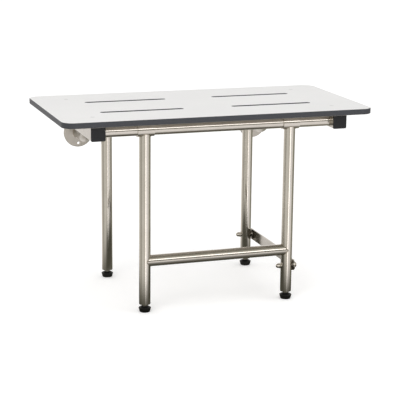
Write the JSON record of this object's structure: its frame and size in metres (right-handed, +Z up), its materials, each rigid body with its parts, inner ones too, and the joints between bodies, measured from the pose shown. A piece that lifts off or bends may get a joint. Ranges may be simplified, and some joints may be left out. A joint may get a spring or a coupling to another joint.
{
  "type": "folding shower bench",
  "caption": "Wall-fixed shower bench with a slotted white board seat on a steel tube frame, swing-down legs and levelling feet, which folds up against the wall.",
  "frame": {"origin": "on the floor, under the middle of the bench's footprint, wall flanges included", "axes": "+Z up, +X along the seat to the right as seen from the room, +Y towards the wall"},
  "size_m": [0.7112, 0.419, 0.4381],
  "materials": {
    "core": "matte dark solid phenolic core",
    "white_laminate": "fine-grained white laminate",
    "plug": "smooth white plastic",
    "tube": "satin stainless steel, brushed along the tube",
    "rail": "satin stainless steel, brushed along the rail",
    "flange": "satin stainless steel",
    "strap": "satin stainless steel, brushed along the strap",
    "fastener": "polished stainless steel",
    "black_plastic": "moulded black plastic",
    "bush": "natural nylon",
    "foot_rubber": "moulded black rubber"
  },
  "bodies": {
    "wall_frame": {"rear_tube": "tube", "rear_tube_plugs": "black_plastic", "left_wall_post": "tube", "right_wall_post": "tube", "left_wall_flange": "flange", "right_wall_flange": "flange", "rear_left_sleeve": "tube", "rear_right_sleeve": "tube", "rear_left_leg": "tube", "rear_right_leg": "tube", "rear_left_leg_insert": "fastener", "rear_right_leg_insert": "fastener", "rear_strap_bolt": "fastener", "rear_cap_nut": "fastener", "rear_leg_washer": "fastener", "rear_head_washer": "fastener"},
    "seat": {"seat_core": "core", "seat_top_laminate": "white_laminate", "seat_bottom_laminate": "white_laminate", "seat_screws": "fastener", "seat_screw_plugs": "plug", "rail_rivet_nuts": "fastener", "front_tube": "tube", "left_rail": "rail", "right_rail": "rail", "left_rail_front_cap": "black_plastic", "right_rail_front_cap": "black_plastic", "left_rail_rear_cap": "black_plastic", "right_rail_rear_cap": "black_plastic", "left_pivot_bushes": "bush", "right_pivot_bushes": "bush"},
    "front_legs": {"front_left_sleeve": "tube", "front_right_sleeve": "tube", "front_left_leg": "tube", "front_right_leg": "tube", "crossbar": "tube", "front_left_leg_insert": "fastener", "front_right_leg_insert": "fastener", "front_strap_bolt": "fastener", "front_cap_nut": "fastener", "front_leg_washer": "fastener", "front_head_washer": "fastener"},
    "link": {"link_strap": "strap"},
    "front_left_foot": {"front_left_foot_pad": "foot_rubber", "front_left_foot_stem": "fastener"},
    "front_right_foot": {"front_right_foot_pad": "foot_rubber", "front_right_foot_stem": "fastener"},
    "rear_left_foot": {"rear_left_foot_pad": "foot_rubber", "rear_left_foot_stem": "fastener"},
    "rear_right_foot": {"rear_right_foot_pad": "foot_rubber", "rear_right_foot_stem": "fastener"}
  },
  "joints": [
    {"name": "seat_fold", "type": "hinge", "parent": "wall_frame", "child": "seat", "pos_m": [0, 0.1165, 0.40958], "axis": [-1, 0, 0], "range_deg": [0, 83]},
    {"name": "front_leg_swing", "type": "hinge", "parent": "seat", "child": "front_legs", "pos_m": [0, -0.1695, 0.40958], "axis": [-1, 0, 0], "range_deg": [-83, 0]},
    {"name": "link_swing", "type": "hinge", "parent": "wall_frame", "child": "link", "pos_m": [0.1926, 0.1165, 0.0785], "axis": [-1, 0, 0], "range_deg": [0, 83]},
    {"name": "front_left_foot_screw", "type": "slide", "parent": "front_legs", "child": "front_left_foot", "axis": [0, 0, -1], "range_m": [0, 0.012]},
    {"name": "front_right_foot_screw", "type": "slide", "parent": "front_legs", "child": "front_right_foot", "axis": [0, 0, -1], "range_m": [0, 0.012]},
    {"name": "rear_left_foot_screw", "type": "slide", "parent": "wall_frame", "child": "rear_left_foot", "axis": [0, 0, -1], "range_m": [0, 0.012]},
    {"name": "rear_right_foot_screw", "type": "slide", "parent": "wall_frame", "child": "rear_right_foot", "axis": [0, 0, -1], "range_m": [0, 0.012]}
  ],
  "couplings": [
    {"joint": "front_leg_swing", "follows": "seat_fold", "ratio": -1},
    {"joint": "link_swing", "follows": "seat_fold", "ratio": 1}
  ]
}
